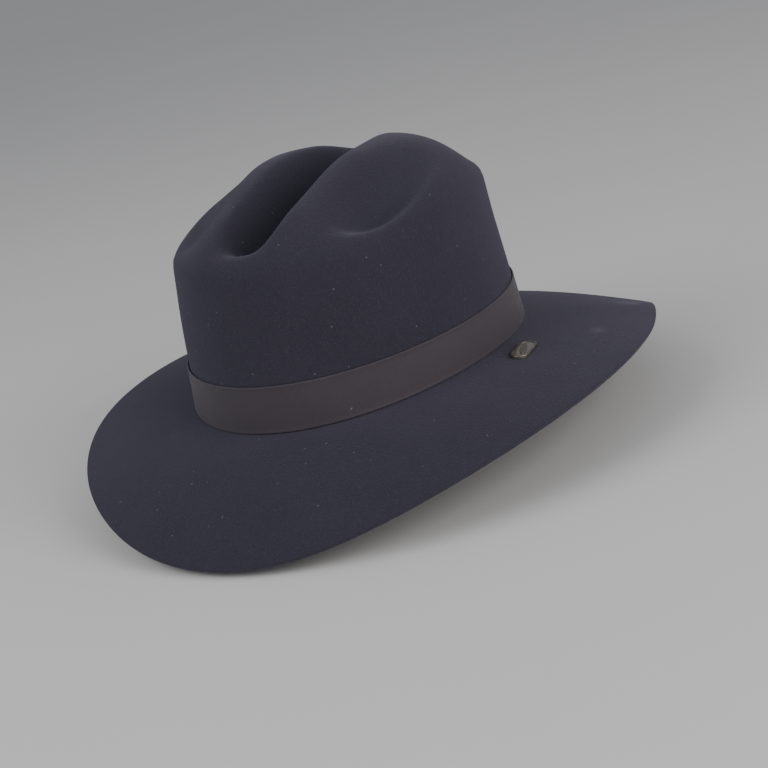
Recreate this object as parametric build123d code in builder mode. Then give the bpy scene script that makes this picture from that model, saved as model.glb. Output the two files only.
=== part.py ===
from build123d import *
import math
import os

os.makedirs("parts", exist_ok=True)

# The hat stands upright in its own frame, in millimetres: +Z is up, -Y is the front,
# +X is the wearer's left.  The origin is the middle of the head opening, level with
# the break, the line where crown and brim meet.

# ---- driving dimensions ------------------------------------------------------------

# Oval of the crown's outside at the break, a 58 cm (7 1/4) head
HALF_WIDTH = 87.2
HALF_LENGTH = 105.2
FELT_CROWN = 2.2
FELT_BRIM = 3.0
CROWN_FOOT = 5.0

# Crown block: a slightly tapered wall under a domed top, each dome section as
# (height, share of the foot oval, forward tilt in degrees)
WALL_HEIGHT = 84.0
WALL_TAPER = 0.07
DOME_SECTIONS = ((84.0, 0.93, 0.0), (99.0, 0.85, 3.0), (108.0, 0.68, 4.0), (112.5, 0.38, 4.0))

# Cattleman creases: round-ended rollers pressed into the top
CREASE_RADIUS = 18.0
CREASE_LENGTH = 150.0
CREASE_CENTRE = (0.0, -14.0, 106.0)
DENT_RADIUS = 22.0
DENT_LENGTH = 88.0
DENT_CENTRE = (77.0, -34.0, 108.4)
ROLLER_ROUNDING = 0.9

# Brim: width and edge height as the first terms round the oval, from the back
BRIM_WIDTH = 70.2
BRIM_WIDTH_BACK = 4.85
BRIM_WIDTH_ENDS = 0.96
EDGE_HEIGHT = -22.2
EDGE_HEIGHT_BACK = 3.66
EDGE_HEIGHT_ENDS = -15.84
EDGE_HEIGHT_QUARTERS = -2.35
BRIM_FLARE = 0.65

# The break line dips a little at front and back
BREAK_DIP = 2.5
BREAK_TILT = 0.8

# Grosgrain ribbon, with its ends lapped at the back
RIBBON_WIDTH = 24.0
RIBBON_THICKNESS = 0.7
RIBBON_GAP = 0.1

# Leather sweatband, with its reed and seam
SWEATBAND_HEIGHT = 50.0
SWEATBAND_THICKNESS = 1.0
SWEATBAND_INSET = 3.3
SWEATBAND_FOOT = 0.9
REED_WIDTH = 1.6
TAPE_THICKNESS = 0.4
SEAM_TAPE_WIDTH = 14.0
SEAM_TAPE_THICKNESS = 0.4

# Satin liner: a side band, an oval tip and the piping between them
LINER_FOOT = 16.0
LINER_TOP = 68.0
LINER_THICKNESS = 0.4
LINER_INSET = 2.5
PIPING_RADIUS = 0.9

# Thread: size of one stitch, and how many run round the sweatband
STITCH = (3.0, 0.4, 0.4)
STITCH_COUNT = 64
STITCH_RISE = 3.2
TACK_ANGLES = (-122, -58, 62, 118)
TACK_RISE = 5.0
TACK_TURN = 35.0
STITCH_GAP = 0.5
LAP_ANGLE = 84.0
SEAM_STITCH_FOOT = 9.0
SEAM_STITCH_COUNT = 11
SEAM_STITCH_TURN = 40.0
SEAM_STITCH_STEP = 3.6

# Brim pin: an oval badge on one post, held by a clutch under the brim
PIN_X = 104.1
PIN_Y = -8.2
PIN_TURN = 7.9
BADGE_LENGTH = 21.4
BADGE_WIDTH = 9.4
BADGE_THICKNESS = 1.5
BADGE_RIM = 0.9
INLAY_RECESS = 0.6
INLAY_THICKNESS = 0.3
LEAF_LENGTH = 15.0
LEAF_WIDTH = 3.6
LEAF_THICKNESS = 0.5
LEAF_TURN = 14.0
POST_RADIUS = 0.55
POST_LENGTH = 9.0
POST_TIP = 1.2
RUNNING_GAP = 0.05
SEAT_GAP = 0.3
CLUTCH_RADIUS = 5.3
CLUTCH_HEIGHT = 2.6
CLUTCH_WALL = 0.6
WING_REACH = 8.5
WING_WIDTH = 3.4
WING_THICKNESS = 0.5


# ---- the hat's surfaces --------------------------------------------------------------


def wall_radii(height, inset):
    """Half width and half length of the crown wall at a height, inset from its outside."""
    scale = 1 - WALL_TAPER * height / WALL_HEIGHT
    return HALF_WIDTH * scale - inset, HALF_LENGTH * scale - inset


def break_height(x, y):
    """The break line: a shallow saddle, low at front and back."""
    along, across = y / HALF_LENGTH, x / HALF_WIDTH
    return -BREAK_TILT * along - BREAK_DIP * (along**2 - across**2)


def brim_point(angle, share, inset=0.0):
    """A point on the brim's top: angle from the left side, share 0 at break to 1 at edge."""
    x, y = (HALF_WIDTH - inset) * math.cos(angle), (HALF_LENGTH - inset) * math.sin(angle)
    out = Vector(math.cos(angle) / HALF_WIDTH, math.sin(angle) / HALF_LENGTH, 0).normalized()
    back = angle - math.pi / 2
    width = BRIM_WIDTH + BRIM_WIDTH_BACK * math.cos(back) + BRIM_WIDTH_ENDS * math.cos(2 * back)
    edge = EDGE_HEIGHT + EDGE_HEIGHT_BACK * math.cos(back)
    edge += EDGE_HEIGHT_ENDS * math.cos(2 * back) + EDGE_HEIGHT_QUARTERS * math.cos(4 * back)
    fall = (1 - BRIM_FLARE) * share + BRIM_FLARE * share * share
    start = break_height(x, y)
    return Vector(x, y, start + (edge - start) * fall) + out * ((width + inset) * share)


def oval_point(angle, inset, rise):
    """A point beside the crown wall, inset from its outside, rise above the break."""
    half_width, half_length = wall_radii(rise, inset)
    x, y = half_width * math.cos(angle), half_length * math.sin(angle)
    return Vector(x, y, break_height(x, y) + rise)


# ---- blocks that the pieces are cut from ------------------------------------------------


def wall_block(low, high, inset):
    """A tapered oval block that follows the crown wall."""
    with BuildPart() as block:
        with BuildSketch(Plane.XY.offset(low)):
            Ellipse(*wall_radii(low, inset))
        with BuildSketch(Plane.XY.offset(high)):
            Ellipse(*wall_radii(high, inset))
        loft()
    return block.part


def saddle_block(rise, depth):
    """A block between the break's saddle, raised by rise, and the same saddle depth above."""
    reach_x, reach_y = HALF_WIDTH + 6, HALF_LENGTH + 6
    steps = [step / 3 - 1 for step in range(7)]
    grid = [[(x * reach_x, y * reach_y, break_height(x * reach_x, y * reach_y) + rise)
             for y in steps] for x in steps]
    return extrude(Face.make_surface_from_array_of_points(grid), amount=depth, dir=(0, 0, 1))


def roller(radius, length, centre):
    """A round-ended bar along Y that presses a crease."""
    with BuildPart(Plane(origin=centre, z_dir=(0, 1, 0))) as bar:
        Cylinder(radius, length)
        fillet(bar.edges().filter_by(GeomType.CIRCLE), radius * ROLLER_ROUNDING)
    return bar.part


def crown_block(foot, inset):
    """The crown's solid block, creased, inset from the felt's outside."""
    with BuildPart() as block:
        with BuildSketch(Plane.XY.offset(foot)):
            Ellipse(*wall_radii(foot, inset))
        with BuildSketch(Plane.XY.offset(WALL_HEIGHT - inset)):
            Ellipse(*wall_radii(WALL_HEIGHT, inset))
        loft()
        for height, share, tilt in DOME_SECTIONS:
            with BuildSketch(Plane.XY.offset(height - inset).rotated((tilt, 0, 0))):
                Ellipse(HALF_WIDTH * share - inset, HALF_LENGTH * share - inset)
        loft()
        add(roller(CREASE_RADIUS + inset, CREASE_LENGTH + 2 * inset, CREASE_CENTRE),
            mode=Mode.SUBTRACT)
        for side in (-1, 1):
            dent_centre = (side * DENT_CENTRE[0], DENT_CENTRE[1], DENT_CENTRE[2])
            add(roller(DENT_RADIUS + inset, DENT_LENGTH + 2 * inset, dent_centre),
                mode=Mode.SUBTRACT)
    return block.part


def wall_band(inset, thickness, low, high):
    """A band along the crown wall, between two rises above the break."""
    with BuildPart() as band:
        add(wall_block(low - 8, high + 8, inset))
        add(wall_block(low - 9, high + 9, inset + thickness), mode=Mode.SUBTRACT)
        add(saddle_block(low - 20, 20), mode=Mode.SUBTRACT)
        add(saddle_block(high, 20), mode=Mode.SUBTRACT)
    return band.part


def stitch_place(angle, inset, rise, turn=0.0):
    """The place of a stitch that lies flat on the wall, turned from the oval's direction."""
    ahead = oval_point(angle + 0.01, inset, rise) - oval_point(angle, inset, rise)
    out = Vector(math.cos(angle) / HALF_WIDTH, math.sin(angle) / HALF_LENGTH, 0).normalized()
    place = Plane(origin=oval_point(angle, inset, rise), x_dir=ahead, z_dir=out).location
    return place * Location((0, 0, 0), (0, 0, turn))


def finish(sub_part, name):
    """Label a finished sub-part and write its file."""
    sub_part.part.label = name
    export_step(sub_part.part, f"parts/{name}.step")


# ---- felt body: crown and brim blocked from one felt ------------------------------------

crown_outside = crown_block(-CROWN_FOOT, 0)
crown_inside = crown_block(-2 * CROWN_FOOT, FELT_CROWN)

# The left half of the brim's top runs a little past the middle, and is split there
angles = [math.radians(-96 + 8 * step) for step in range(25)]
shares = [step / 6 for step in range(7)]
brim_grid = [[brim_point(angle, share, FELT_CROWN / 2) for share in shares] for angle in angles]
brim_top = Face.make_surface_from_array_of_points(brim_grid)
brim_half = split(extrude(brim_top, amount=FELT_BRIM, dir=(0, 0, -1)), bisect_by=Plane.YZ)
other_half = mirror(brim_half, about=Plane.YZ)

# The pin's seat: the brim point under the badge, found by walking to its X and Y
pin_angle, pin_share = 0.0, 0.2
for _ in range(20):
    pin_seat = brim_point(pin_angle, pin_share)
    pin_share += (PIN_X - pin_seat.X) / BRIM_WIDTH
    pin_angle += (PIN_Y - pin_seat.Y) / HALF_LENGTH
outward = brim_point(pin_angle, pin_share + 0.01) - pin_seat
onward = brim_point(pin_angle + 0.01, pin_share) - pin_seat
seat = Plane(origin=pin_seat, x_dir=onward, z_dir=outward.cross(onward))
pin_plane = Plane(seat.location * Location((0, 0, 0), (0, 0, PIN_TURN)))

with BuildPart() as felt_body:
    add(crown_outside)
    add(crown_inside, mode=Mode.SUBTRACT)
    add(brim_half)
    add(other_half)
    with BuildSketch(pin_plane.offset(FELT_BRIM)):
        Circle(POST_RADIUS + RUNNING_GAP)
    extrude(amount=-4 * FELT_BRIM, mode=Mode.SUBTRACT)
finish(felt_body, "felt_body")

# ---- ribbon round the crown's foot ------------------------------------------------------

with BuildPart() as ribbon_band:
    add(wall_band(-RIBBON_GAP - RIBBON_THICKNESS, RIBBON_THICKNESS, RIBBON_GAP, RIBBON_WIDTH))
finish(ribbon_band, "ribbon_band")

stitch_inset = -RIBBON_GAP - RIBBON_THICKNESS - STITCH[2] / 2 - STITCH_GAP
with BuildPart() as ribbon_tacks:
    with Locations([stitch_place(math.radians(turn), stitch_inset, TACK_RISE, TACK_TURN)
                    for turn in TACK_ANGLES]):
        Box(STITCH[0] / 2, STITCH[1], STITCH[2])
finish(ribbon_tacks, "ribbon_tacks")

with BuildPart() as ribbon_join_stitches:
    with Locations([stitch_place(math.radians(LAP_ANGLE), stitch_inset, RIBBON_WIDTH * step / 8, 90)
                    for step in range(1, 8)]):
        Box(STITCH[0] / 1.5, STITCH[1], STITCH[2])
finish(ribbon_join_stitches, "ribbon_join_stitches")

# ---- leather sweatband inside the head opening --------------------------------------------

leather_face = SWEATBAND_INSET + SWEATBAND_THICKNESS

with BuildPart() as sweatband:
    add(wall_band(SWEATBAND_INSET, SWEATBAND_THICKNESS, SWEATBAND_FOOT, SWEATBAND_HEIGHT))
finish(sweatband, "sweatband")

# The reed stiffens the foot of the sweatband, under a folded tape that is open downwards
tape_inset = SWEATBAND_INSET + SWEATBAND_THICKNESS / 2 - REED_WIDTH / 2 - TAPE_THICKNESS
tape_width = REED_WIDTH + 2 * TAPE_THICKNESS
reed_top = SWEATBAND_FOOT - TAPE_THICKNESS - 0.1
reed_foot = reed_top - REED_WIDTH

with BuildPart() as reed_tape:
    add(wall_band(tape_inset, tape_width, reed_foot, SWEATBAND_FOOT - 0.1))
    add(wall_band(tape_inset + TAPE_THICKNESS, REED_WIDTH, reed_foot - 3, reed_top),
        mode=Mode.SUBTRACT)
finish(reed_tape, "reed_tape")

with BuildPart() as sweatband_reed:
    add(wall_band(tape_inset + TAPE_THICKNESS + 0.05, REED_WIDTH - 0.1, reed_foot, reed_top - 0.1))
finish(sweatband_reed, "sweatband_reed")

with BuildPart() as sweatband_stitches:
    with Locations([stitch_place(2 * math.pi * (step + 0.5) / STITCH_COUNT,
                                 leather_face + STITCH[2] / 2 + STITCH_GAP, STITCH_RISE)
                    for step in range(STITCH_COUNT)]):
        Box(*STITCH)
finish(sweatband_stitches, "sweatband_stitches")

# The sweatband's ends meet at the back under a narrow tape with zigzag stitches
tape_face = leather_face + 0.1
with BuildPart() as seam_tape:
    add(wall_block(6, SWEATBAND_HEIGHT - 4, tape_face))
    add(wall_block(5, SWEATBAND_HEIGHT - 3, tape_face + SEAM_TAPE_THICKNESS), mode=Mode.SUBTRACT)
    with Locations((0, HALF_LENGTH, 0)):
        Box(SEAM_TAPE_WIDTH, HALF_LENGTH, 3 * SWEATBAND_HEIGHT, mode=Mode.INTERSECT)
finish(seam_tape, "seam_tape")

zigzag_places = []
for step in range(SEAM_STITCH_COUNT):
    rise = SEAM_STITCH_FOOT + SEAM_STITCH_STEP * step
    half_length = wall_radii(rise, tape_face + SEAM_TAPE_THICKNESS + STITCH[2])[1]
    tilt = SEAM_STITCH_TURN if step % 2 else -SEAM_STITCH_TURN
    upright = Location((0, half_length, rise), (90, 0, 0))
    zigzag_places.append(upright * Location((0, 0, 0), (0, 0, tilt)))

with BuildPart() as seam_stitches:
    with Locations(zigzag_places):
        Box(*STITCH)
finish(seam_stitches, "seam_stitches")

# A small flat bow closes the sweatband's foot at the back
with BuildPart() as sweatband_bow:
    with BuildSketch(Plane(origin=(0, HALF_LENGTH - 6.4, 3.2), x_dir=(-1, 0, 0), z_dir=(0, 1, 0))):
        with GridLocations(7, 0, 2, 1):
            Ellipse(4.2, 2.0)
        Rectangle(2.6, 3.0)
    extrude(amount=1.2)
finish(sweatband_bow, "sweatband_bow")

with BuildPart() as size_tag:
    add(wall_block(20, 34, LINER_INSET + LINER_THICKNESS + 0.1))
    add(wall_block(19, 35, SWEATBAND_INSET - 0.1), mode=Mode.SUBTRACT)
    with Locations((0, HALF_LENGTH, 0)):
        Box(24, HALF_LENGTH, 100, mode=Mode.INTERSECT)
finish(size_tag, "size_tag")

# ---- satin liner inside the crown -----------------------------------------------------

with BuildPart() as liner_side_band:
    add(wall_block(LINER_FOOT, LINER_TOP, LINER_INSET))
    add(wall_block(LINER_FOOT - 1, LINER_TOP + 1, LINER_INSET + LINER_THICKNESS),
        mode=Mode.SUBTRACT)
finish(liner_side_band, "liner_side_band")

with BuildPart() as liner_tip:
    with BuildSketch(Plane.XY.offset(LINER_TOP)):
        Ellipse(*wall_radii(LINER_TOP, LINER_INSET))
    extrude(amount=2 * LINER_THICKNESS)
finish(liner_tip, "liner_tip")

piping_inset = LINER_INSET + LINER_THICKNESS + PIPING_RADIUS + 0.1
piping_height = LINER_TOP - PIPING_RADIUS - 0.1
piping_path = Edge.make_ellipse(*wall_radii(piping_height, piping_inset),
                                plane=Plane.XY.offset(piping_height))
with BuildPart() as liner_piping:
    with BuildSketch(Plane(origin=piping_path @ 0, z_dir=piping_path % 0)):
        Circle(PIPING_RADIUS)
    sweep(path=piping_path)
finish(liner_piping, "liner_piping")

# ---- brim pin -------------------------------------------------------------------------

with BuildPart() as badge_plate:
    with BuildSketch(pin_plane.offset(SEAT_GAP)):
        SlotOverall(BADGE_LENGTH, BADGE_WIDTH)
    extrude(amount=BADGE_THICKNESS)
    fillet(badge_plate.faces().sort_by(Axis(pin_plane.origin, pin_plane.z_dir))[-1].edges(), 0.4)
    with BuildSketch(pin_plane.offset(SEAT_GAP + BADGE_THICKNESS)):
        SlotOverall(BADGE_LENGTH - 2 * BADGE_RIM, BADGE_WIDTH - 2 * BADGE_RIM)
    extrude(amount=-INLAY_RECESS, mode=Mode.SUBTRACT)
finish(badge_plate, "badge_plate")

recess_floor = SEAT_GAP + BADGE_THICKNESS - INLAY_RECESS
with BuildPart() as badge_inlay:
    with BuildSketch(pin_plane.offset(recess_floor)):
        SlotOverall(BADGE_LENGTH - 2 * BADGE_RIM - 0.1, BADGE_WIDTH - 2 * BADGE_RIM - 0.1)
    extrude(amount=INLAY_THICKNESS)
finish(badge_inlay, "badge_inlay")

with BuildPart() as badge_leaf:
    with BuildSketch(pin_plane.offset(recess_floor + INLAY_THICKNESS)):
        Ellipse(LEAF_LENGTH / 2, LEAF_WIDTH / 2, rotation=LEAF_TURN)
    extrude(amount=LEAF_THICKNESS)
    chamfer(badge_leaf.faces().sort_by(Axis(pin_plane.origin, pin_plane.z_dir))[-1].edges(), 0.2)
finish(badge_leaf, "badge_leaf")

with BuildPart() as badge_post:
    with BuildSketch(pin_plane.offset(SEAT_GAP)):
        Circle(POST_RADIUS)
    extrude(amount=-POST_LENGTH)
    with BuildSketch(pin_plane.offset(SEAT_GAP - POST_LENGTH)):
        Circle(POST_RADIUS)
    extrude(amount=-POST_TIP, taper=20)
finish(badge_post, "badge_post")

clutch_top = -FELT_BRIM - SEAT_GAP - 0.1
with BuildPart() as clutch_cup:
    with BuildSketch(pin_plane.offset(clutch_top)):
        Circle(CLUTCH_RADIUS)
    extrude(amount=-CLUTCH_HEIGHT)
    with BuildSketch(pin_plane.offset(clutch_top - CLUTCH_WALL)):
        Circle(CLUTCH_RADIUS - CLUTCH_WALL)
    extrude(amount=-CLUTCH_HEIGHT, mode=Mode.SUBTRACT)
    with BuildSketch(pin_plane.offset(clutch_top)):
        Circle(POST_RADIUS + RUNNING_GAP)
    extrude(amount=-CLUTCH_HEIGHT, mode=Mode.SUBTRACT)
finish(clutch_cup, "clutch_cup")

with BuildPart() as clutch_spring:
    with BuildSketch(pin_plane.offset(clutch_top - CLUTCH_HEIGHT)):
        SlotOverall(2 * WING_REACH, WING_WIDTH)
        Circle(CLUTCH_RADIUS - CLUTCH_WALL / 2)
        Circle(POST_RADIUS + RUNNING_GAP, mode=Mode.SUBTRACT)
    extrude(amount=-WING_THICKNESS)
finish(clutch_spring, "clutch_spring")

print("pin seat", pin_seat, "axis", pin_plane.z_dir)
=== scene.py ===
import math

import bmesh
import bpy
from mathutils import Matrix, Vector, noise


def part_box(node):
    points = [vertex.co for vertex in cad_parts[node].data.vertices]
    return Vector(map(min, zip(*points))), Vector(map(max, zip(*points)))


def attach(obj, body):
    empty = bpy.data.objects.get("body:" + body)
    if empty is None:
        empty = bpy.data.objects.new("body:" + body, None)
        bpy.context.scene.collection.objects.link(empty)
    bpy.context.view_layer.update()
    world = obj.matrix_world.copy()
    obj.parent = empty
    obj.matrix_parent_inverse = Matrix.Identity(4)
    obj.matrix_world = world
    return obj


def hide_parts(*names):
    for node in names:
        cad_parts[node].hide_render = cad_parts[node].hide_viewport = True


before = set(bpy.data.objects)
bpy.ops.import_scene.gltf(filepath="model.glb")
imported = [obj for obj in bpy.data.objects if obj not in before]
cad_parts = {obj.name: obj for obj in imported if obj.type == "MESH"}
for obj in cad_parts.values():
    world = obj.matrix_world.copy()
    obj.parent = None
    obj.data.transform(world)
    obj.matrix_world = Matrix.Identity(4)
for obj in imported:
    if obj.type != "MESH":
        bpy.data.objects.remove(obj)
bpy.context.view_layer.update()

# A felt cowboy hat in metres: +Z up, -Y the front, +X the wearer's left, the origin in the
# middle of the head opening, level with the break where crown and brim meet.

MM = 0.001

# ---- measures of the hat, worked out from the frame ---------------------------------------

RIBBON_THICKNESS = 0.7 * MM
RIBBON_WIDTH = 24.0 * MM
FELT = 2.6 * MM
WALL_HEIGHT = 84.0 * MM
WALL_TAPER = 0.07
CROWN_HEIGHT = 115.0 * MM

brim_low, brim_high = (Vector(corner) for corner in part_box("felt_body"))
HALF_WIDTH = 87.2 * MM
HALF_LENGTH = 105.2 * MM
BRIM_SIDE = brim_high.x - HALF_WIDTH
BRIM_FRONT = -brim_low.y - HALF_LENGTH
BRIM_BACK = brim_high.y - HALF_LENGTH

TACK_ANGLES = (-122, -58, 62, 118)
LAP_ANGLES = (83.4, 96)
LAP_STITCH_ANGLE = 84
SEAM_ANGLES = (86, 94)
TAG_ANGLES = (83.5, 96.5)
SEWN_STITCHES = 128
SEWN_HEIGHT = 3.2 * MM
SEAM_STITCHES = 11
SEAM_STEP = 3.6 * MM
LAP_STITCHES = 7
CREASE_DEPTH = 27 * MM
DENT_DEPTH = 17 * MM

# Where handling has rubbed the brim: the place, its size and how strongly it shows
RUBBED_PLACES = (
    (Vector((121.7, 90.3, -9)) * MM, 9 * MM, 0.90),
    (Vector((129, 30.9, -3)) * MM, 6 * MM, 0.66),
)

ROUND = 144
RING_POINTS = 128
BRIM_RINGS = 12
WALL_RINGS = 11
TOP_RINGS = 22


def ease(start, end, value):
    """0 before start, 1 after end, with a smooth rise between."""
    share = min(max((value - start) / (end - start), 0.0), 1.0)
    return share * share * (3 - 2 * share)


# ---- the blocked shape of the felt ---------------------------------------------------------


def break_height(x, y):
    """The break is a shallow saddle, low at front and back."""
    along, across = y / HALF_LENGTH, x / HALF_WIDTH
    return (-0.8 * along - 2.5 * (along**2 - across**2)) * MM


def crown_top(x, y):
    """The crown's top: a dome that falls to front and back, with its creases pressed in."""
    reach = math.hypot(x / HALF_WIDTH, y / HALF_LENGTH) / (1 - WALL_TAPER)
    shoulder = 1 - min(reach, 1.0) ** 8
    roundness = 5.5 - 2.3 * max(ease(5 * MM, 50 * MM, -x), ease(15 * MM, 75 * MM, y))
    height = CROWN_HEIGHT - (CROWN_HEIGHT - WALL_HEIGHT) * reach**roundness
    height -= 9 * MM * ease(0, 60 * MM, -y) * (0.4 + 0.6 * shoulder)
    height -= 6 * MM * ease(30 * MM, 95 * MM, y) * shoulder
    height -= 5 * MM * ease(8 * MM, 60 * MM, y) * ease(4 * MM, 30 * MM, -x) * shoulder
    across = math.exp(-((abs(x) / (13.5 * MM)) ** 2.8))
    height -= CREASE_DEPTH * across * ease(-95 * MM, -66 * MM, y) * (1 - ease(10 * MM, 80 * MM, y))
    dent = ((abs(x) - 55 * MM) / (19 * MM)) ** 2 + ((y + 32 * MM) / (41 * MM)) ** 2
    depth = DENT_DEPTH * (1 - 0.6 * ease(0, 25 * MM, -x))
    return height - depth * math.exp(-(dent**1.3)) * (1 - ease(0.80, 0.99, reach))


def brim_width(angle):
    """Brim width at an angle from the wearer's left: widest behind, narrowest in front."""
    ends = (BRIM_FRONT + BRIM_BACK) / 2
    across = (BRIM_SIDE + ends) / 2
    return across + (ends - BRIM_SIDE) / 2 * -math.cos(2 * angle) + (BRIM_BACK - ends) * math.sin(angle)


def edge_height(angle):
    """Height of the brim's edge: high at the sides, dipped at front and back."""
    back = angle - math.pi / 2
    waves = -22.2 + 3.66 * math.cos(back) - 15.84 * math.cos(2 * back)
    side = math.degrees(math.pi / 2 - abs(back))
    corner = 2.0 * math.exp(-(((side - 33) / 8) ** 2)) - 1.8 * math.exp(-(((side - 55) / 16) ** 2))
    return (waves + corner + 0.34 * math.cos(3 * back) - 2.35 * math.cos(4 * back)) * MM


def brim_point(angle, share):
    """A point on the brim's top, share 0 at the break and 1 at the edge."""
    x, y = HALF_WIDTH * math.cos(angle), HALF_LENGTH * math.sin(angle)
    out = Vector((math.cos(angle) / HALF_WIDTH, math.sin(angle) / HALF_LENGTH, 0)).normalized()
    start = break_height(x, y)
    fall = 0.35 * share + 0.65 * share * share
    lift = (edge_height(angle) - start) * fall
    return Vector((x, y, start + lift)) + out * brim_width(angle) * share


def wall_point(angle, height, proud=0.0, top=WALL_HEIGHT):
    """A point on the crown's wall at a height above the break, standing proud of the felt."""
    scale = 1 - WALL_TAPER * height / top
    x, y = HALF_WIDTH * math.cos(angle), HALF_LENGTH * math.sin(angle)
    out = Vector((math.cos(angle) / HALF_WIDTH, math.sin(angle) / HALF_LENGTH, 0)).normalized()
    foot = break_height(x, y) * (1 - ease(0, 0.6 * WALL_HEIGHT, height))
    return Vector((x * scale, y * scale, foot + height)) + out * proud


# ---- modelling helpers ---------------------------------------------------------------------


def points_where(piece, chosen):
    """In edit mode, select only the points whose place is chosen, and what joins them."""
    mesh = bmesh.from_edit_mesh(piece.data)
    bpy.ops.mesh.select_all(action="DESELECT")
    for point in mesh.verts:
        point.select_set(bool(chosen(point.co)))
    mesh.select_flush(True)
    bmesh.update_edit_mesh(piece.data)


def hoop(name, rows, points=ROUND):
    """A unit hoop of rows bands, made by pulling a circle up one row at a time."""
    bpy.ops.object.select_all(action="DESELECT")
    bpy.ops.mesh.primitive_circle_add(vertices=points, radius=1)
    piece = bpy.context.object
    piece.name = name
    bpy.ops.object.mode_set(mode="EDIT")
    bpy.ops.mesh.select_all(action="SELECT")
    for _ in range(rows):
        bpy.ops.mesh.extrude_region_move(TRANSFORM_OT_translate={"value": (0, 0, 1 / rows)})
    bpy.ops.object.mode_set(mode="OBJECT")
    return piece


def press(piece, rule):
    """Move each point of a piece to where the rule puts it, as felt is pressed on a block."""
    for point in piece.data.vertices:
        point.co = rule(point.co.copy())
    piece.data.update()


def add_modifiers(piece, wall=0.0, side=-1.0, bevel=0.0, smooth=0):
    """Give a piece its thickness, its softened edges and its subdivision, in that order."""
    bpy.ops.object.select_all(action="DESELECT")
    piece.select_set(True)
    bpy.context.view_layer.objects.active = piece
    if wall:
        solid = piece.modifiers.new("thickness", "SOLIDIFY")
        solid.thickness = wall
        solid.offset = side
    if bevel:
        edge = piece.modifiers.new("soft_edge", "BEVEL")
        edge.width = bevel
        edge.segments = 2
        edge.limit_method = "ANGLE"
        edge.angle_limit = math.radians(50)
    if smooth:
        fine = piece.modifiers.new("fine", "SUBSURF")
        fine.levels = smooth
        fine.render_levels = smooth
    for modifier in list(piece.modifiers):
        bpy.ops.object.modifier_apply(modifier=modifier.name)


def face_outwards(piece):
    """Merge doubles and point every face outwards."""
    bpy.ops.object.select_all(action="DESELECT")
    piece.select_set(True)
    bpy.context.view_layer.objects.active = piece
    bpy.ops.object.mode_set(mode="EDIT")
    bpy.ops.mesh.select_all(action="SELECT")
    bpy.ops.mesh.remove_doubles(threshold=1e-6)
    bpy.ops.mesh.normals_make_consistent(inside=False)
    bpy.ops.object.mode_set(mode="OBJECT")


def turn_over(piece):
    """Flip every face of an open shell."""
    bpy.context.view_layer.objects.active = piece
    bpy.ops.object.mode_set(mode="EDIT")
    bpy.ops.mesh.select_all(action="SELECT")
    bpy.ops.mesh.flip_normals()
    bpy.ops.object.mode_set(mode="OBJECT")


def finish_piece(piece, material, body, *nodes, slot=None):
    """Shade a piece smooth, give it its material, hang it on its body and hide the parts it stands in for.
    """
    for polygon in piece.data.polygons:
        polygon.use_smooth = True
    piece.data.materials.clear()
    piece.data.materials.append(material)
    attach(piece, body)
    if nodes:
        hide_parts(*nodes)
    return piece


# ---- materials -----------------------------------------------------------------------------


class Finish:
    """A small helper that lays out a material's nodes."""

    def __init__(self, name, color, roughness, **sockets):
        self.material = bpy.data.materials.new(name)
        self.material.use_nodes = True
        self.tree = self.material.node_tree
        self.shader = self.tree.nodes["Principled BSDF"]
        self.shader.inputs["Base Color"].default_value = (*color, 1)
        self.shader.inputs["Roughness"].default_value = roughness
        for socket, value in sockets.items():
            self.shader.inputs[socket.replace("_", " ")].default_value = value
        self.place = self.tree.nodes.new("ShaderNodeTexCoord").outputs["Object"]
        self.relief = None

    def link(self, source, target):
        self.tree.links.new(source, target)

    def node(self, kind, **values):
        made = self.tree.nodes.new("ShaderNode" + kind)
        for key, value in values.items():
            if hasattr(made, key):
                setattr(made, key, value)
            else:
                made.inputs[key.replace("_", " ")].default_value = value
        return made

    def noise(self, scale, detail=4.0, stretch=None):
        """A noise over the piece's own coordinates, stretched along the axes if asked."""
        made = self.node("TexNoise", Scale=scale, Detail=detail)
        source = self.place
        if stretch:
            mapping = self.node("Mapping")
            mapping.inputs["Scale"].default_value = stretch
            self.link(source, mapping.inputs["Vector"])
            source = mapping.outputs["Vector"]
        self.link(source, made.inputs["Vector"])
        return made.outputs["Fac"]

    def math(self, operation, first, second=0.0, third=0.0):
        made = self.tree.nodes.new("ShaderNodeMath")
        made.operation = operation
        for socket, value in zip(made.inputs, (first, second, third)):
            if isinstance(value, (int, float)):
                socket.default_value = value
            else:
                self.link(value, socket)
        return made.outputs[0]

    def mix(self, share, first, second):
        """Mix two colours, each a socket or a colour, by a share."""
        made = self.tree.nodes.new("ShaderNodeMix")
        made.data_type = "RGBA"
        self.link(share, made.inputs["Factor"])
        for socket, value in ((made.inputs["A"], first), (made.inputs["B"], second)):
            if isinstance(value, tuple):
                socket.default_value = (*value, 1)
            else:
                self.link(value, socket)
        return made.outputs["Result"]

    def bump(self, source, strength, distance):
        """Add a relief on top of the reliefs so far."""
        made = self.node("Bump", Strength=strength, Distance=distance)
        self.link(source, made.inputs["Height"])
        if self.relief:
            self.link(self.relief, made.inputs["Normal"])
        self.relief = made.outputs["Normal"]

    def done(self, color=None, roughness=None):
        if color:
            self.link(color, self.shader.inputs["Base Color"])
        if roughness:
            self.link(roughness, self.shader.inputs["Roughness"])
        if self.relief:
            self.link(self.relief, self.shader.inputs["Normal"])
        return self.material


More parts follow.
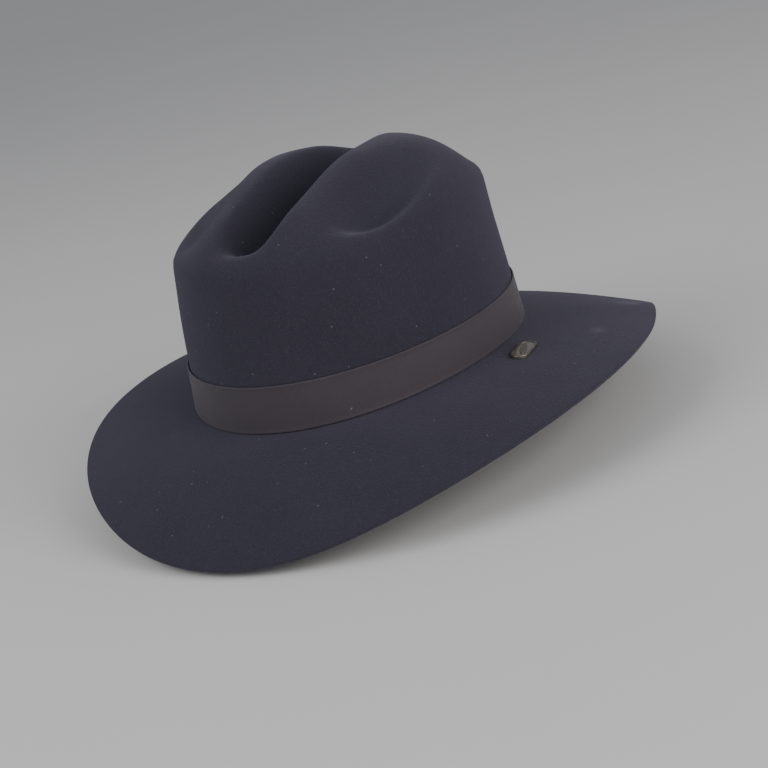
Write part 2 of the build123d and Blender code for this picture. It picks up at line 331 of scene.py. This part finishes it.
def felt_finish():
    """Near-black navy fur felt: a soft nap, faint clouding and pale lint specks."""
    felt = Finish("fur_felt", (0.020, 0.020, 0.028), 0.92, Sheen_Weight=0.16,
                  Sheen_Roughness=0.5, Specular_IOR_Level=0.10)
    felt.shader.inputs["Sheen Tint"].default_value = (0.66, 0.62, 0.80, 1)
    cloud = felt.noise(28, 3)
    nap = felt.noise(900, 6, (1.0, 1.0, 0.55))
    fuzz = felt.noise(2600, 2)
    color = felt.mix(cloud, (0.0195, 0.0180, 0.0275), (0.0290, 0.0272, 0.0392))
    color = felt.mix(felt.math("MULTIPLY", nap, 0.5), color, (0.047, 0.043, 0.058))
    flecks = felt.math("GREATER_THAN", felt.noise(1500, 2), 0.64)
    color = felt.mix(felt.math("MULTIPLY", flecks, 0.4), color, (0.075, 0.070, 0.088))
    lint = felt.node("TexVoronoi", Scale=150.0, Randomness=1.0)
    felt.link(felt.place, lint.inputs["Vector"])
    speck = felt.math("LESS_THAN", lint.outputs["Distance"], 0.07)
    patch = felt.math("GREATER_THAN", felt.noise(60, 1), 0.52)
    color = felt.mix(felt.math("MULTIPLY", felt.math("MULTIPLY", speck, patch), 0.5), color,
                     (0.16, 0.15, 0.17))
    for place, size, strength in RUBBED_PLACES:
        reach = felt.node("VectorMath")
        reach.operation = "DISTANCE"
        felt.link(felt.place, reach.inputs[0])
        reach.inputs[1].default_value = place
        rub = felt.math("SUBTRACT", 1.0, felt.math("DIVIDE", reach.outputs["Value"], size))
        rub = felt.math("MULTIPLY", felt.math("MAXIMUM", rub, 0.0), felt.noise(260, 4))
        color = felt.mix(felt.math("MULTIPLY", rub, strength), color, (0.14, 0.135, 0.16))
    felt.bump(cloud, 0.15, 0.0008)
    felt.bump(nap, 0.6, 0.0006)
    felt.bump(fuzz, 0.5, 0.0003)
    return felt.done(color)


def ribbon_finish():
    """Grosgrain: fine ribs across the ribbon and a low sheen."""
    ribbon = Finish("grosgrain", (0.040, 0.033, 0.040), 0.55, Sheen_Weight=0.25,
                    Sheen_Roughness=0.3, Specular_IOR_Level=0.35)
    parts = ribbon.node("SeparateXYZ")
    ribbon.link(ribbon.place, parts.inputs[0])
    around = ribbon.math("ARCTAN2", ribbon.math("DIVIDE", parts.outputs["Y"], HALF_LENGTH),
                         ribbon.math("DIVIDE", parts.outputs["X"], HALF_WIDTH))
    ribs = ribbon.math("SINE", ribbon.math("MULTIPLY", around, 760.0))
    ribs = ribbon.math("MULTIPLY_ADD", ribs, 0.5, 0.5)
    weave = ribbon.noise(1400, 3, (1, 1, 0.25))
    cloud = ribbon.noise(35, 3)
    color = ribbon.mix(cloud, (0.029, 0.0225, 0.031), (0.040, 0.0315, 0.0405))
    color = ribbon.mix(ribbon.math("MULTIPLY", ribs, 0.35), color, (0.055, 0.047, 0.057))
    ribbon.bump(ribs, 0.5, 0.00025)
    ribbon.bump(weave, 0.2, 0.0001)
    return ribbon.done(color)


def leather_finish():
    """Sweatband leather: brown, fine grained, a little glossy."""
    leather = Finish("sweatband_leather", (0.11, 0.055, 0.028), 0.42)
    cells = leather.node("TexVoronoi", Scale=900.0)
    leather.link(leather.place, cells.inputs["Vector"])
    cloud = leather.noise(40, 5)
    color = leather.mix(cloud, (0.075, 0.036, 0.018), (0.15, 0.078, 0.040))
    leather.bump(cells.outputs["Distance"], 0.3, 0.0002)
    leather.bump(leather.noise(220, 4), 0.2, 0.0004)
    return leather.done(color, leather.math("MULTIPLY_ADD", cloud, 0.25, 0.30))


def satin_finish(name, dark, light):
    """Satin lining: smooth, with a soft directional sheen and faint creases; the crease hollows are painted
    darker and the fold crests painted lighter (painted shade and highlight).
    """
    satin = Finish(name, light, 0.34, Sheen_Weight=0.3, Anisotropic=0.5)
    fold_relief_and_shade = satin.noise(45, 3)
    weave = satin.noise(1800, 2, (1, 1, 0.2))
    satin.bump(fold_relief_and_shade, 0.35, 0.0015)
    satin.bump(weave, 0.2, 0.0001)
    # Painted shade: the colour follows the fold relief, the dark colour in the fold hollows and the light
    # one on the crests.
    return satin.done(satin.mix(fold_relief_and_shade, dark, light))


def thread_finish(name, color):
    """Twisted thread."""
    thread = Finish(name, color, 0.7, Sheen_Weight=0.2)
    twist = thread.noise(3000, 2, (1, 0.3, 1))
    thread.bump(twist, 0.5, 0.0001)
    return thread.done(thread.mix(twist, tuple(c * 0.7 for c in color), color))


def metal_finish(name, dark, light, roughness):
    """Cast and brushed metal with patches of darker tarnish and small scratches."""
    metal = Finish(name, light, roughness, Metallic=1.0)
    tarnish = metal.noise(420, 5)
    scratches = metal.noise(1500, 2, (1, 0.08, 1))
    metal.bump(scratches, 0.15, 0.00005)
    color = metal.mix(tarnish, dark, light)
    return metal.done(color, metal.math("MULTIPLY_ADD", tarnish, 0.3, roughness - 0.1))


def enamel_finish():
    """Dark translucent enamel under a clear gloss."""
    enamel = Finish("badge_enamel", (0.05, 0.042, 0.025), 0.25, Coat_Weight=0.8)
    swirl = enamel.noise(500, 3)
    return enamel.done(enamel.mix(swirl, (0.035, 0.030, 0.018), (0.10, 0.085, 0.050)))


def plain_finish(name, dark, light, roughness, scale=600):
    """A matt surface with a fine grain."""
    plain = Finish(name, light, roughness)
    grain = plain.noise(scale, 4)
    plain.bump(grain, 0.2, 0.0001)
    return plain.done(plain.mix(grain, dark, light))


# ---- felt body -----------------------------------------------------------------------------


def felt_rule(place):
    """Where a point of the blank goes: brim rings, then wall rows, then top rings."""
    angle = math.atan2(place.y, place.x)
    radius = math.hypot(place.x, place.y)
    if place.z < 1e-6 and radius >= 1 - 1e-6:
        share = radius - 1
        point = brim_point(angle, share)
        wave = noise.noise(Vector((math.cos(angle) * 1.7, math.sin(angle) * 1.7, 4.0)))
        point.z += wave * share * share * 1.4 * MM
        return point
    shrink = 1 - WALL_TAPER
    rim = crown_top(HALF_WIDTH * shrink * math.cos(angle), HALF_LENGTH * shrink * math.sin(angle))
    if radius > 1 - 1e-6:
        height = place.z * rim
        point = wall_point(angle, height, top=rim)
        bulge = noise.noise(Vector((math.cos(angle) * 1.3, math.sin(angle) * 1.3, place.z * 1.5)))
        out = Vector((point.x, point.y, 0)).normalized()
        return point + out * bulge * 1.2 * MM * ease(0.3, 0.8, place.z)
    x, y = HALF_WIDTH * shrink * place.x, HALF_LENGTH * shrink * place.y
    return Vector((x, y, crown_top(x, y)))


def felt_body():
    """Crown and brim pressed from one felt, with a raw edge."""
    piece = hoop("felt_body_blocked", WALL_RINGS)
    bpy.ops.object.mode_set(mode="EDIT")
    points_where(piece, lambda place: place.z < 1e-6)
    for ring in range(BRIM_RINGS):
        grow = (1 + (ring + 1) / BRIM_RINGS) / (1 + ring / BRIM_RINGS)
        bpy.ops.mesh.extrude_region_move()
        bpy.ops.transform.resize(value=(grow, grow, 1), center_override=(0, 0, 0))
    points_where(piece, lambda place: place.z > 1 - 1e-6)
    for ring in range(TOP_RINGS - 1):
        shrink = (TOP_RINGS - ring - 1) / (TOP_RINGS - ring)
        bpy.ops.mesh.extrude_region_move()
        bpy.ops.transform.resize(value=(shrink, shrink, 1), center_override=(0, 0, 1))
    bpy.ops.mesh.extrude_region_move()
    bpy.ops.mesh.merge(type="CENTER")
    bpy.ops.object.mode_set(mode="OBJECT")
    press(piece, felt_rule)
    face_outwards(piece)
    centre = min(piece.data.polygons, key=lambda face: face.center.xy.length)
    if centre.normal.z < 0:
        turn_over(piece)
    add_modifiers(piece, wall=FELT, side=-1, bevel=0.5 * MM, smooth=1)
    return finish_piece(piece, felt_finish(), "hat", "felt_body", slot="felt")


# ---- ribbon --------------------------------------------------------------------------------


def ribbon_rule(row_heights, row_proud):
    """Ribbon rows: their heights, and how far each stands off the felt."""
    def rule(place):
        angle = math.atan2(place.y, place.x)
        row = round(place.z * (len(row_heights) - 1))
        slack = 0.5 + 0.5 * noise.noise(Vector((3 * math.cos(angle), 3 * math.sin(angle), 9)))
        lift = slack * 0.5 * MM * math.sin(math.pi * row / (len(row_heights) - 1))
        return wall_point(angle, row_heights[row], 0.2 * MM + row_proud[row] + lift)
    return rule


def ribbon_band():
    """Grosgrain band with corded edges."""
    heights = [0.1, 0.5, 1.0, 1.6, 4, 7, 10, 13, 16, 19, 22.2, 22.9, 23.5, 24.0]
    proud = [0.75, 0.95, 0.92, 0.7] + [0.68] * 6 + [0.7, 0.92, 0.95, 0.75]
    piece = hoop("ribbon_grosgrain", len(heights) - 1, 192)
    press(piece, ribbon_rule([h * MM for h in heights], [p * MM for p in proud]))
    face_outwards(piece)
    add_modifiers(piece, wall=0.6 * MM, side=-1, smooth=1)
    finish_piece(piece, ribbon_finish(), "hat", "ribbon_band", slot="ribbon")
    return piece


# ---- inside the crown ------------------------------------------------------------------------


def band_rule(rows, wall_top=WALL_HEIGHT, wave=0.0):
    """Rows of (height, inset) for a hoop that lies inside the crown wall."""
    def rule(place):
        angle = math.atan2(place.y, place.x)
        height, inset = rows[round(place.z * (len(rows) - 1))]
        ripple = wave * math.sin(angle * 46) * ease(0.5, 1.0, place.z)
        return wall_point(angle, height * MM, -(inset * MM) + ripple, wall_top)
    return rule


def sweatband():
    """Leather band: a softened foot, a flat face and a top edge that leans in."""
    rows = [(0.9, 3.4), (1.2, 3.2), (3, 3.25), (8, 3.3), (20, 3.3), (35, 3.35), (46, 3.4), (50, 3.55)]
    piece = hoop("sweatband_leather_band", len(rows) - 1, 128)
    press(piece, band_rule(rows))
    face_outwards(piece)
    add_modifiers(piece, wall=0.9 * MM, side=-1, bevel=0.25 * MM, smooth=1)
    return finish_piece(piece, leather_finish(), "hat", "sweatband", slot="leather")


def lining():
    """Satin lining: a rippled side band and a slightly crowned oval tip."""
    # The darker of these two colours is painted shade for the lining's fold hollows.
    satin = satin_finish("lining_satin", (0.20, 0.18, 0.17), (0.34, 0.31, 0.29))
    rows = [(16, 2.75), (26, 2.75), (36, 2.75), (46, 2.85), (54, 3.15), (60, 3.45), (65, 3.65), (68, 3.8)]
    side = hoop("liner_gathered_side", len(rows) - 1, 276)
    press(side, band_rule(rows, wave=0.35 * MM))
    face_outwards(side)
    add_modifiers(side, wall=0.35 * MM, side=-1)
    finish_piece(side, satin, "hat", "liner_side_band", slot="lining")

    bpy.ops.object.select_all(action="DESELECT")
    bpy.ops.mesh.primitive_circle_add(vertices=96, radius=1, fill_type="TRIFAN")
    tip = bpy.context.object
    tip.name = "liner_oval_tip"
    bpy.ops.object.mode_set(mode="EDIT")
    bpy.ops.mesh.select_all(action="SELECT")
    bpy.ops.mesh.subdivide(number_cuts=5)
    bpy.ops.object.mode_set(mode="OBJECT")
    low, high = (Vector(corner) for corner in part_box("liner_tip"))

    def tip_rule(place):
        reach = min(math.hypot(place.x, place.y), 1.0)
        height = low.z + 1.2 * MM * (1 - reach**2) + 0.4 * MM * noise.noise(place * 3)
        return Vector((place.x * (high.x - 0.9 * MM), place.y * (high.y - 0.9 * MM), height))

    press(tip, tip_rule)
    face_outwards(tip)
    add_modifiers(tip, wall=0.4 * MM, side=1)
    finish_piece(tip, satin, "hat", "liner_tip", slot="lining")


def soft_ring(name, node, material, slot, height, inset, radius):
    """A round cord laid round the inside of the wall."""
    tube = 0.25
    bpy.ops.object.select_all(action="DESELECT")
    bpy.ops.mesh.primitive_torus_add(major_segments=RING_POINTS, minor_segments=10,
                                     major_radius=1, minor_radius=tube)
    piece = bpy.context.object
    piece.name = name

    def rule(place):
        angle = math.atan2(place.y, place.x)
        outward = (math.hypot(place.x, place.y) - 1) / tube * radius
        return wall_point(angle, height, outward - inset) + Vector((0, 0, place.z / tube * radius))

    press(piece, rule)
    face_outwards(piece)
    return finish_piece(piece, material, "hat", node, slot=slot)


def stitch(name, length, radius):
    """One short stitch: a straight six-sided bar with eased edges."""
    bpy.ops.object.select_all(action="DESELECT")
    bpy.ops.mesh.primitive_cylinder_add(vertices=6, radius=radius, depth=length,
                                        rotation=(0, math.pi / 2, 0))
    piece = bpy.context.object
    piece.name = name
    bpy.ops.object.transform_apply(location=True, rotation=True, scale=True)
    bpy.ops.object.mode_set(mode="EDIT")
    bpy.ops.mesh.select_all(action="SELECT")
    bpy.ops.mesh.bevel(offset=radius * 0.5, segments=1)
    bpy.ops.object.mode_set(mode="OBJECT")
    return piece


def stitch_row(name, node, material, slot, places, length=3 * MM, radius=0.24 * MM):
    """Copies of one stitch, each set along its own direction, joined into one row."""
    first = stitch(name, length, radius)
    copies = []
    for place, along, out in places:
        copy = first.copy()
        copy.data = first.data.copy()
        bpy.context.collection.objects.link(copy)
        side = out.cross(along).normalized()
        turned = Matrix((along, side, out)).transposed()
        for point in copy.data.vertices:
            point.co = turned @ point.co + place
        copies.append(copy)
    bpy.data.objects.remove(first)
    bpy.ops.object.select_all(action="DESELECT")
    for copy in copies:
        copy.select_set(True)
    bpy.context.view_layer.objects.active = copies[0]
    bpy.ops.object.join()
    copies[0].name = name
    return finish_piece(copies[0], material, "hat", node, slot=slot)


def along_wall(angle, height, proud, turn=0.0):
    """A place on the wall with its direction along the wall and its direction outwards."""
    here = wall_point(angle, height, proud)
    along = (wall_point(angle + 0.01, height, proud) - here).normalized()
    out = Vector((math.cos(angle) / HALF_WIDTH, math.sin(angle) / HALF_LENGTH, 0)).normalized()
    upward = out.cross(along)
    turned = (along * math.cos(turn) + upward * math.sin(turn)).normalized()
    return here, turned, out


def sewing():
    """Thread: round the sweatband, on its back seam, and where the ribbon is held."""
    dark = thread_finish("thread_dark", (0.06, 0.055, 0.06))
    brown = thread_finish("thread_brown", (0.20, 0.12, 0.07))
    face = -4.35 * MM
    row = [along_wall(2 * math.pi * (step + 0.5) / SEWN_STITCHES, SEWN_HEIGHT, face)
           for step in range(SEWN_STITCHES)]
    stitch_row("sweatband_sewn_row", "sweatband_stitches", brown, "thread", row)
    seam = [along_wall(math.pi / 2, 9 * MM + SEAM_STEP * step, -5.0 * MM,
                       math.radians(40 if step % 2 else -40)) for step in range(SEAM_STITCHES)]
    stitch_row("seam_zigzag", "seam_stitches", brown, "thread", seam)
    proud = RIBBON_THICKNESS + 0.45 * MM
    tacks = [along_wall(math.radians(turn), 5 * MM, proud, math.radians(35))
             for turn in TACK_ANGLES]
    stitch_row("ribbon_tack_threads", "ribbon_tacks", thread_finish("thread_tack", (0.2, 0.19, 0.2)),
               "thread", tacks, 1.6 * MM, 0.22 * MM)
    lap_step = RIBBON_WIDTH / (LAP_STITCHES + 1)
    lap = [along_wall(math.radians(LAP_STITCH_ANGLE), lap_step * (step + 1), proud + 0.35 * MM, math.pi / 2)
           for step in range(LAP_STITCHES)]
    stitch_row("ribbon_lap_threads", "ribbon_join_stitches", dark, "thread", lap, 1.9 * MM)


def panel(name, node, material, slot, angles, rows, thickness, across=24, bevel=0.0):
    """A strip laid on the wall between two angles, over rows of (height, proud)."""
    bpy.ops.object.select_all(action="DESELECT")
    bpy.ops.mesh.primitive_grid_add(x_subdivisions=across, y_subdivisions=len(rows) - 1, size=2)
    piece = bpy.context.object
    piece.name = name
    start, end = (math.radians(angle) for angle in angles)

    def rule(place):
        angle = start + (end - start) * (place.x + 1) / 2
        height, proud = rows[round((place.y + 1) / 2 * (len(rows) - 1))]
        return wall_point(angle, height * MM, proud * MM)

    press(piece, rule)
    face_outwards(piece)
    middle = piece.data.polygons[len(piece.data.polygons) // 2]
    if middle.normal.dot(Vector((middle.center.x, middle.center.y, 0))) < 0:
        turn_over(piece)
    add_modifiers(piece, wall=thickness, side=1, bevel=bevel, smooth=1)
    return finish_piece(piece, material, "hat", *([node] if node else []), slot=slot)


def trims(ribbon_cloth):
    """The ribbon's lapped end, the reed and its tape, the back seam and the tag."""
    lap_rows = [(0.1, 1.25), (4, 1.2), (8, 1.2), (12, 1.2), (16, 1.2), (20, 1.2), (24.0, 1.25)]
    panel("ribbon_lap", None, ribbon_cloth, "ribbon", LAP_ANGLES, lap_rows, 0.55 * MM, 14, 0.2 * MM)
    soft_ring("sweatband_cane", "sweatband_reed",
              plain_finish("reed_cane", (0.42, 0.34, 0.22), (0.55, 0.46, 0.32), 0.5), "reed",
              -0.45 * MM, 3.8 * MM, 0.62 * MM)
    tape = thread_finish("tape_cotton", (0.05, 0.045, 0.05))
    soft_ring("reed_tape_roll", "reed_tape", tape, "ribbon", -0.3 * MM, 3.75 * MM, 1.0 * MM)
    hide = leather_finish()
    seam_rows = [(5, -4.75), (15, -4.75), (25, -4.75), (35, -4.75), (46, -4.75)]
    panel("sweatband_seam_cover", "seam_tape", hide, "leather", SEAM_ANGLES, seam_rows, 0.4 * MM, 8,
          0.15 * MM)
    tag_rows = [(20, -3.2), (27, -3.2), (34, -3.2)]
    panel("size_tag_blank", "size_tag", plain_finish("tag_cloth", (0.6, 0.57, 0.5), (0.7, 0.67, 0.6), 0.8),
          "tag", TAG_ANGLES, tag_rows, 0.15 * MM, 10)


def bow():
    """A small bow at the back of the sweatband: a loop on each side of a knot."""
    low, high = (Vector(corner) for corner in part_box("sweatband_bow"))
    middle = (low + high) / 2
    bpy.ops.object.select_all(action="DESELECT")
    bpy.ops.mesh.primitive_uv_sphere_add(segments=32, ring_count=16, radius=1)
    piece = bpy.context.object
    piece.name = "sweatband_bow_tied"

    def rule(place):
        pinch = 0.35 + 0.65 * ease(0.05, 0.75, abs(place.x))
        knot = 1.25 * math.exp(-((place.x / 0.16) ** 2))
        return Vector((middle.x + place.x * (high.x - low.x) / 2,
                       middle.y + place.y * (high.y - low.y) / 2 * (0.7 + knot * 0.25),
                       middle.z + place.z * (high.z - low.z) / 2 * (pinch + knot * 0.3)))

    press(piece, rule)
    face_outwards(piece)
    return finish_piece(piece, thread_finish("bow_ribbon", (0.05, 0.042, 0.05)), "hat",
                        "sweatband_bow", slot="ribbon")


def pin():
    """The pin keeps its own solids and gets better finishes."""
    worn = metal_finish("badge_worn_metal", (0.13, 0.112, 0.096), (0.36, 0.315, 0.28), 0.42)
    nodes = {"badge_plate": worn, "badge_leaf": worn, "badge_post": worn,
             "badge_inlay": enamel_finish(),
             "clutch_cup": metal_finish("clutch_brass", (0.34, 0.24, 0.10), (0.62, 0.46, 0.22), 0.3),
             "clutch_spring": metal_finish("spring_steel", (0.30, 0.30, 0.30), (0.5, 0.5, 0.5), 0.3)}
    for name, material in nodes.items():
        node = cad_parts[name]
        for slot in node.material_slots:
            slot.material = material


# ---- floor, light and camera -----------------------------------------------------------------


def stage():
    """Plain pale floor, soft lamps on both sides, and the camera."""
    bpy.ops.object.select_all(action="DESELECT")
    bpy.ops.mesh.primitive_plane_add(size=12, location=(0, 0, brim_low.z - 2 * MM))
    floor = bpy.context.object
    floor.name = "floor"
    floor.data.materials.append(plain_finish("floor_pale", (0.62, 0.61, 0.59), (0.66, 0.65, 0.63), 0.9, 4))

    world = bpy.data.worlds.new("studio")
    world.use_nodes = True
    world.node_tree.nodes["Background"].inputs["Color"].default_value = (0.80, 0.82, 0.88, 1)
    world.node_tree.nodes["Background"].inputs["Strength"].default_value = 0.47
    bpy.context.scene.world = world

    azimuth, elevation, roll = (math.radians(turn) for turn in (33.44, 18.05, -13.35))
    back = Vector((math.sin(azimuth) * math.cos(elevation), -math.cos(azimuth) * math.cos(elevation),
                   math.sin(elevation)))
    level = (-back).cross(Vector((0, 0, 1))).normalized()
    upright = level.cross(-back)
    right = math.cos(roll) * level + math.sin(roll) * upright
    up = -math.sin(roll) * level + math.cos(roll) * upright

    def lamp(name, place, size, power, color):
        data = bpy.data.lights.new(name, "AREA")
        data.shape = "DISK"
        data.size = size
        data.energy = power
        data.color = color
        light = bpy.data.objects.new(name, data)
        light.location = place
        light.rotation_euler = (-place).to_track_quat("-Z", "Y").to_euler()
        bpy.context.collection.objects.link(light)

    lamp("window", -right * 1.3 + up * 0.45 + back * 0.75, 1.3, 13, (0.97, 0.97, 1.0))
    lamp("room", right * 1.0 + up * 0.35 + back * 1.1, 1.6, 22, (1.0, 0.98, 0.97))

    distance, sideways, upwards = 0.932, 0.0122, -0.0162
    camera_data = bpy.data.cameras.new("camera")
    camera_data.lens = 79.0
    camera_data.sensor_width = 36.0
    camera_data.clip_start = 0.01
    camera = bpy.data.objects.new("camera", camera_data)
    place = right * sideways + up * upwards + back * distance
    camera.matrix_world = Matrix((
        (right.x, up.x, back.x, place.x),
        (right.y, up.y, back.y, place.y),
        (right.z, up.z, back.z, place.z),
        (0, 0, 0, 1)))
    bpy.context.collection.objects.link(camera)
    bpy.context.scene.camera = camera


stage()
felt_body()
ribbon = ribbon_band()
sweatband()
lining()
# The darker of the two piping colours is painted shade for its fold hollows.
soft_ring("liner_piping_cord", "liner_piping", satin_finish("piping_satin", (0.03, 0.028, 0.03),
                                                            (0.07, 0.065, 0.07)),
          "piping", 67 * MM, 4.2 * MM, 0.9 * MM)
sewing()
trims(ribbon.data.materials[0])
bow()
pin()
